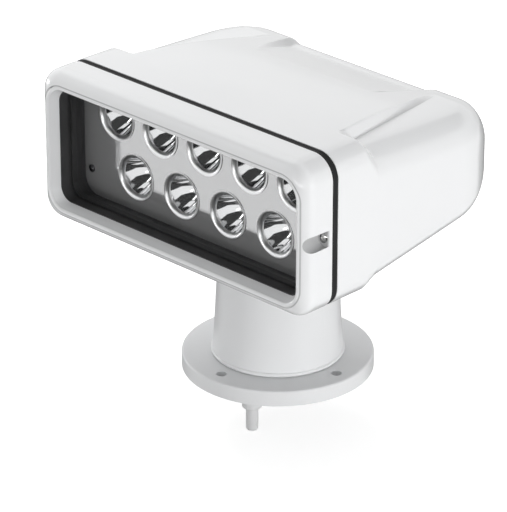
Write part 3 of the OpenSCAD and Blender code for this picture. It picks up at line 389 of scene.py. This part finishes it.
class Shading:
    """The node tree of one material or of the world."""

    def __init__(self, owner):
        owner.use_nodes = True
        self.tree = owner.node_tree
        self.tree.nodes.clear()

    def node(self, kind, settings=None, sockets=None, output=0):
        """Adds a node: its settings first, then the values or links of its sockets. Gives one output."""
        node = self.tree.nodes.new("ShaderNode" + kind)
        for name, value in (settings or {}).items():
            if name == "stops":
                for element, (position, shade) in zip(node.color_ramp.elements, value):
                    element.position = position
                    element.color = (shade, shade, shade, 1)
            else:
                setattr(node, name, value)
        for name, value in (sockets or {}).items():
            if isinstance(value, Wire):
                self.tree.links.new(value.socket, node.inputs[name])
            else:
                node.inputs[name].default_value = value
        return Wire(self, node.outputs[output]) if node.outputs else None

    def place(self, stretch=(1, 1, 1)):
        """Coordinates fixed to the object, in metres, stretched along its axes."""
        spot = self.node("TexCoord", output="Object")
        return self.node("Mapping", {}, {"Vector": spot, "Scale": stretch})

    def noise(self, scale, detail=3, stretch=(1, 1, 1)):
        return self.node("TexNoise", {}, {"Vector": self.place(stretch), "Scale": scale, "Detail": detail})

    def beside_bead(self):
        """Distance from the outer edge of the bead round the window, for skin near the bezel's front."""
        spot = self.node("TexCoord", output="Object")
        flat = self.node("Mapping", {}, {
            "Vector": spot, "Scale": (1, 0, 1), "Location": (0, 0, WINDOW_DROP - HEAD_Z)})
        folded = self.node("VectorMath", {"operation": "ABSOLUTE"}, {0: flat})
        straight = (BEAD_HW - BEAD_CORNER_R, 0, BEAD_HH - BEAD_CORNER_R)
        beyond = self.node("VectorMath", {"operation": "SUBTRACT"}, {0: folded, 1: straight})
        corner = self.node("VectorMath", {"operation": "MAXIMUM"}, {0: beyond, 1: (0, 0, 0)})
        reach = self.node("VectorMath", {"operation": "LENGTH"}, {0: corner}, "Value")
        beside = self.node("Math", {"operation": "ABSOLUTE"}, {0: reach - BEAD_CORNER_R})
        behind = self.node("SeparateXYZ", {}, {0: spot}, "Y") - BEAD_Y
        return self.node("Math", {"operation": "MAXIMUM"}, {0: beside, 1: behind})

    def in_screw_notch(self):
        """1 on the walls of the notches in the bezel's sides and 0 elsewhere."""
        spot = self.node("TexCoord", output="Object")
        folded = self.node("VectorMath", {"operation": "ABSOLUTE"}, {0: spot})
        forward = -1 * self.node("SeparateXYZ", {}, {0: spot}, "Y")
        height = self.node("SeparateXYZ", {}, {0: spot}, "Z") - HEAD_Z
        axis_x = NOTCH_X + math.tan(NOTCH_TILT) * (forward - NOTCH_END)
        aside = math.cos(NOTCH_TILT) * (self.node("SeparateXYZ", {}, {0: folded}, "X") - axis_x)
        off_axis = self.node("Math", {"operation": "SQRT"}, {0: aside * aside + height * height})
        return (NOTCH_R + NOTCH_SLACK - off_axis > 0) * (forward > SCREW_SEAT - NOTCH_SLACK)

    def ramp(self, value, low, high):
        """Carries a value from 0 at low to 1 at high."""
        return self.node("ValToRGB", {"stops": ((low, 0), (high, 1))}, {"Fac": value})

    def tint(self, mask, first, second):
        """The first colour where the mask is 0 and the second where it is 1."""
        return self.node("Mix", {"data_type": "RGBA"}, {0: mask, 6: first, 7: second}, 2)

    def bump(self, height, depth, strength):
        return self.node("Bump", {}, {"Height": height, "Distance": depth, "Strength": strength})

    def surface(self, sockets):
        """Ends the tree in one Principled surface."""
        shader = self.node("BsdfPrincipled", {}, sockets)
        self.node("OutputMaterial", {}, {"Surface": shader})


def rgb(red, green, blue):
    return (red, green, blue, 1)


def scaled(colour, factor):
    return tuple(c * factor for c in colour[:3]) + (1,)


def new_finish(name):
    material = bpy.data.materials.new(name)
    return material, Shading(material)


# Finishes

def gloss_white(name, colour, peel_scale, peel_depth, roughness, coat, coat_roughness):
    """Gloss white with a faint orange peel and slow changes of tone.

    A thin line outside the window's bead is painted darker: a painted groove shadow, with no groove in the
    surface. In the screw notches the skin is matt, and painted greyer as painted shade in the recess.
    """
    # Painted shade: the width and darkness of a dark line that stands for a groove's shadow
    painted_groove_half_width = 0.0009
    painted_groove_shade = 0.5
    # Painted shade: how much greyer the walls of the screw notches are painted
    painted_notch_shade = 0.55
    material, shading = new_finish(name)
    cloud = shading.noise(9, 2)
    peel = shading.noise(peel_scale, 2)
    off_painted_groove = shading.ramp(shading.beside_bead() * (1 / painted_groove_half_width), 0.1, 1.0)
    notch = shading.in_screw_notch()
    skin = shading.tint(shading.ramp(cloud, 0.3, 0.7), scaled(colour, 0.975), colour)
    # Painted shade: a dark line outside the bead stands for the shadow of a groove
    skin_with_painted_groove = shading.tint(off_painted_groove, scaled(colour, painted_groove_shade), skin)
    shading.surface({
        # Painted shade: the notch walls are painted greyer to stand for the shade in the recess
        "Base Color": shading.tint(notch, skin_with_painted_groove, scaled(colour, painted_notch_shade)),
        "Roughness": roughness + 0.08 * cloud + 0.25 * notch,
        "Coat Weight": coat - coat * notch,
        "Coat Roughness": coat_roughness,
        "Normal": shading.bump(peel, peel_depth, 0.35),
    })
    return material


def rubber(name, darkest, lightest):
    """Matt black moulded rubber with a fine skin."""
    material, shading = new_finish(name)
    skin = shading.noise(2600, 3)
    bloom = shading.noise(30, 4)
    shading.surface({
        "Base Color": shading.tint(shading.ramp(bloom, 0.35, 0.75), darkest, lightest),
        "Roughness": 0.55 + 0.18 * bloom,
        "Specular IOR Level": 0.25,
        "Normal": shading.bump(skin, 0.0002, 0.4),
    })
    return material


def brushed(name, colour, roughness, spread, stretch, metallic=1.0):
    """Bare metal with fine marks drawn along one axis."""
    mark_depth = 0.00004
    material, shading = new_finish(name)
    marks = shading.noise(420, 4, stretch)
    cloud = shading.noise(14, 2)
    shading.surface({
        "Base Color": shading.tint(marks, scaled(colour, 0.93), colour),
        "Metallic": metallic,
        "Roughness": roughness + spread * marks + 0.05 * cloud,
        "Normal": shading.bump(marks, mark_depth, 0.3),
    })
    return material


def mirror_metal(name, colour, mouth_y):
    """Bright metallised bowl with faint haze; in front of mouth_y its rolled mouth is satin."""
    material, shading = new_finish(name)
    haze = shading.noise(60, 3)
    along = shading.node("SeparateXYZ", {}, {0: shading.place()}, "Y")
    mouth = mouth_y - along > 0
    shading.surface({
        "Base Color": shading.tint(haze, scaled(colour, 0.97), colour),
        "Metallic": 1.0,
        "Roughness": 0.035 + 0.04 * haze + 0.27 * mouth,
    })
    return material


def moulded(name, colour, roughness, grain_depth=0.0001):
    """Plain moulding with a fine spark-eroded grain."""
    material, shading = new_finish(name)
    grain = shading.noise(1800, 3)
    cloud = shading.noise(22, 3)
    shading.surface({
        "Base Color": shading.tint(shading.ramp(cloud, 0.3, 0.75), scaled(colour, 0.88), colour),
        "Roughness": roughness + 0.12 * cloud,
        "Normal": shading.bump(grain, grain_depth, 0.4),
    })
    return material


def circuit_mask(name, mask_colour, track_colour):
    """Solder mask with raised tracks under it."""
    material, shading = new_finish(name)
    brick = shading.node("TexBrick", {"offset": 0.37}, {
        "Vector": shading.place(), "Scale": 190.0, "Color1": rgb(1, 1, 1), "Color2": rgb(0.85, 0.85, 0.85),
        "Mortar": rgb(0, 0, 0), "Mortar Size": 0.035}, "Fac")
    cloud = shading.noise(70, 3)
    shading.surface({
        "Base Color": shading.tint(brick, mask_colour, track_colour),
        "Roughness": 0.32 + 0.15 * cloud,
        "Normal": shading.bump(brick, 0.00006, 0.6),
    })
    return material


def phosphor(name):
    """Yellow phosphor under a clear dome."""
    material, shading = new_finish(name)
    grain = shading.noise(1500, 2)
    shading.surface({
        "Base Color": shading.tint(grain, rgb(0.80, 0.60, 0.16), rgb(0.92, 0.78, 0.30)),
        "Roughness": 0.3 + 0.1 * grain,
        "Coat Weight": 1.0,
        "Coat Roughness": 0.03,
    })
    return material


def clear_glass(name):
    """Thin clear glass: nearly all of it lets light straight through, less at grazing angles."""
    material, shading = new_finish(name)
    slant = shading.node("LayerWeight", {}, {"Blend": 0.5}, "Facing")
    smear = shading.noise(18, 4)
    shading.surface({
        "Base Color": shading.tint(smear, rgb(0.010, 0.014, 0.014), rgb(0.016, 0.020, 0.020)),
        "Roughness": 0.02 + 0.03 * smear,
        "Alpha": 0.015 + 0.35 * slant * slant * slant,
    })
    return material


finishes = {
    "white_shell": gloss_white(
        "white_shell", rgb(0.848, 0.855, 0.863), peel_scale=700, peel_depth=0.00006,
        roughness=0.20, coat=0.55, coat_roughness=0.05),
    # Greyer than the shell: partly a greyer powder coat, partly painted shade under the head's overhang
    "white_casting": gloss_white(
        "white_casting", rgb(0.785, 0.792, 0.800), peel_scale=460, peel_depth=0.00012,
        roughness=0.36, coat=0.15, coat_roughness=0.20),
    "white_gland": moulded("white_gland", rgb(0.83, 0.835, 0.84), roughness=0.34),
    "black_rubber": rubber("black_rubber", rgb(0.045, 0.045, 0.046), rgb(0.064, 0.064, 0.066)),
    "window_glass": clear_glass("window_glass"),
    "satin_plate": brushed(
        "satin_plate", rgb(0.74, 0.745, 0.75), roughness=0.03, spread=0.02, stretch=(0.05, 1, 1),
        metallic=0.68),
    "bright_reflector": mirror_metal("bright_reflector", rgb(0.93, 0.935, 0.94), MOUTH_Y),
    "stainless": brushed(
        "stainless", rgb(0.78, 0.78, 0.77), roughness=0.14, spread=0.10, stretch=(1, 0.1, 1)),
    "bronze": brushed(
        "bronze", rgb(0.72, 0.50, 0.24), roughness=0.28, spread=0.15, stretch=(1, 1, 0.1)),
    "nylon": moulded("nylon", rgb(0.80, 0.77, 0.66), roughness=0.42),
    "motor_case": brushed(
        "motor_case", rgb(0.20, 0.20, 0.21), roughness=0.34, spread=0.12, stretch=(1, 1, 0.1)),
    "black_plastic": moulded(
        "black_plastic", rgb(0.028, 0.028, 0.030), roughness=0.48, grain_depth=0.0003),
    "circuit_board": circuit_mask("circuit_board", rgb(0.02, 0.16, 0.07), rgb(0.04, 0.27, 0.12)),
    "lamp_board": circuit_mask("lamp_board", rgb(0.80, 0.80, 0.78), rgb(0.86, 0.86, 0.84)),
    "emitter": phosphor("emitter"),
    "bare_aluminium": brushed(
        "bare_aluminium", rgb(0.70, 0.70, 0.71), roughness=0.32, spread=0.14, stretch=(1, 1, 0.08)),
}

# Solids that differ from their slot: a gasket of blacker rubber, and blackened screws on the bright plate
own_finishes = {
    "bezel_gasket": rubber("gasket_rubber", rgb(0.012, 0.012, 0.012), rgb(0.020, 0.020, 0.021)),
    "plate_screws": brushed(
        "blackened_steel", rgb(0.09, 0.09, 0.095), roughness=0.32, spread=0.12, stretch=(1, 0.1, 1)),
}


def finish_solids():
    """Gives every solid its own finish, or that of the slot that the record names for it."""
    for subpart in frame["record"]["subparts"]:
        solid = nodes[subpart["node"]]
        solid.data.materials.clear()
        solid.data.materials.append(own_finishes.get(subpart["node"], finishes[subpart["material_slot"]]))


# Stage, light and camera

FLOOR_R = 1.6
FLOOR_DROP = 0.0005
FLOOR_GLOW = 0.76
WORLD_LEVEL = 0.49

# Cards that gloss and bright metal mirror: name, shade, and the directions that each covers in degrees
FLAG_R = 5.0
FLAGS = (
    ("rear_flag", 0.75, 20, 190, -6, 12),
    ("front_flag", 0.20, 268, 307, -14, 27),
    ("front_top_flag", 0.06, 268, 307, 27, 80),
    ("left_top_flag", 0.06, 195, 268, 42, 80),
    ("right_top_flag", 0.06, 307, 322, 32, 80),
    ("right_flag", 0.03, 322, 346, -80, 80),
    ("low_flag", 0.05, 235, 322, -80, -14),
    ("shoulder_flag", 0.15, 35, 110, 30, 75),
    ("rear_low_flag", 0.04, 85, 185, -70, -7),
)

# Lights: name, place, target, size, power, and whether gloss mirrors the light itself
HEAD_MIDDLE = (0, 0, HEAD_Z)
DECK_MIDDLE = (0, 0, 0)
SOFTBOXES = (
    ("key_softbox", (2.3, -0.2, 0.05), HEAD_MIDDLE, (1.2, 0.3), 28, False),
    ("top_softbox", (-1.5, 0.4, 1.9), HEAD_MIDDLE, (1.5, 1.5), 33, False),
    ("front_softbox", (0.3, -2.25, 0.05), DECK_MIDDLE, (2.2, 0.3), 9, True),
    ("left_softbox", (-2.3, -0.6, 0.0), DECK_MIDDLE, (1.0, 0.3), 7, True),
)

# The photograph's line of sight; the azimuth goes from -Y towards +X
SIGHT_AIM = Vector((-0.0460, 0.0146, 0.0897))
SIGHT_AZIMUTH = math.radians(44.21)
SIGHT_ELEVATION = math.radians(25.38)
SIGHT_DISTANCE = 3.476
SENSOR_WIDTH = 36
LENS = 260.7


def make_floor():
    """A pale round floor that fades into the background and keeps the shadow."""
    turns = 96
    height = cad_box[0][2] - FLOOR_DROP
    points = [(FLOOR_R * math.cos(a), FLOOR_R * math.sin(a), height) for a in round_angles(turns)]
    floor = add_piece("studio_floor", points, [tuple(range(turns))])
    material, shading = new_finish("pale_floor")
    ray = shading.node("LightPath", output="Is Camera Ray")
    through = shading.node("LightPath", output="Is Transmission Ray")
    spot = shading.node("TexCoord", output="Object")
    reach = shading.node("VectorMath", {"operation": "LENGTH"}, {0: spot}, "Value")
    grain = shading.noise(40, 3)
    tone = shading.tint(grain, rgb(0.52, 0.52, 0.52), rgb(0.55, 0.55, 0.55))
    matt = shading.node("BsdfDiffuse", {}, {"Color": tone})
    glow = shading.node("Emission", {}, {"Color": rgb(1, 1, 1), "Strength": FLOOR_GLOW * (ray + through)})
    lit = shading.node("AddShader", {}, {0: matt, 1: glow})
    clear = shading.node("BsdfTransparent")
    fade = shading.ramp(reach * (1 / FLOOR_R), 0.55, 0.98)
    faded = shading.node("MixShader", {}, {0: fade, 1: lit, 2: clear})
    shading.node("OutputMaterial", {}, {"Surface": faded})
    floor.data.materials.append(material)
    floor.visible_glossy = False


def make_flag(name, shade, first, last, low, high):
    """A far card that only mirrored light sees, to draw the edges of white gloss and bright metal.

    It covers a range of directions from the head: first to last round it, low to high above the level.
    """
    steps = 24
    across = np.radians(np.linspace(first, last, steps))
    upward = np.radians(np.linspace(low, high, steps))
    points = [(FLAG_R * math.cos(e) * math.cos(a), FLAG_R * math.cos(e) * math.sin(a),
               HEAD_Z + FLAG_R * math.sin(e)) for e in upward for a in across]
    faces = [(row + k, row + k + 1, row + k + 1 + steps, row + k + steps)
             for row in range(0, steps * (steps - 1), steps) for k in range(steps - 1)]
    flag = add_piece(name, points, faces)
    material, shading = new_finish(name)
    weave = shading.noise(300, 2)
    colour = rgb(shade, shade, shade)
    glow = shading.node("Emission", {}, {
        "Color": shading.tint(weave, scaled(colour, 0.94), colour), "Strength": 1.0})
    shading.node("OutputMaterial", {}, {"Surface": glow})
    flag.data.materials.append(material)
    flag.visible_camera = False
    flag.visible_diffuse = False
    flag.visible_shadow = False
    flag.visible_transmission = False


def make_world(light_level):
    """Even light all round; straight, mirrored and transmitted views of it are white."""
    world = bpy.data.worlds.new("white_studio")
    scene.world = world
    shading = Shading(world)
    ray = shading.node("LightPath", output="Is Camera Ray")
    glossy = shading.node("LightPath", output="Is Glossy Ray")
    through = shading.node("LightPath", output="Is Transmission Ray")
    seen = shading.node("Math", {"operation": "MINIMUM"}, {0: ray + glossy + through, 1: 1.0})
    backdrop = shading.node("Background", {}, {
        "Color": rgb(1, 1, 1), "Strength": light_level + (1 - light_level) * seen})
    shading.node("OutputWorld", {}, {"Surface": backdrop})


def add_softbox(name, place, target, size, power, mirrored):
    light = bpy.data.lights.new(name, "AREA")
    light.shape = "RECTANGLE"
    light.size, light.size_y = size
    light.energy = power
    lamp = bpy.data.objects.new(name, light)
    lamp.location = place
    lamp.rotation_euler = (Vector(target) - Vector(place)).to_track_quat("-Z", "Y").to_euler()
    lamp.visible_glossy = mirrored
    scene.collection.objects.link(lamp)


def make_camera():
    level = math.cos(SIGHT_ELEVATION)
    away = Vector((level * math.sin(SIGHT_AZIMUTH), -level * math.cos(SIGHT_AZIMUTH),
                   math.sin(SIGHT_ELEVATION)))
    data = bpy.data.cameras.new("viewpoint")
    data.sensor_width = SENSOR_WIDTH
    data.lens = LENS
    camera = bpy.data.objects.new("viewpoint", data)
    camera.location = SIGHT_AIM + SIGHT_DISTANCE * away
    camera.rotation_euler = (-away).to_track_quat("-Z", "Y").to_euler()
    scene.collection.objects.link(camera)
    scene.camera = camera


make_camera()
finish_solids()
make_rear_shell()
make_reflectors()
make_floor()
make_world(WORLD_LEVEL)
for softbox in SOFTBOXES:
    add_softbox(*softbox)
for flag in FLAGS:
    make_flag(*flag)
scene.view_settings.view_transform = "Standard"
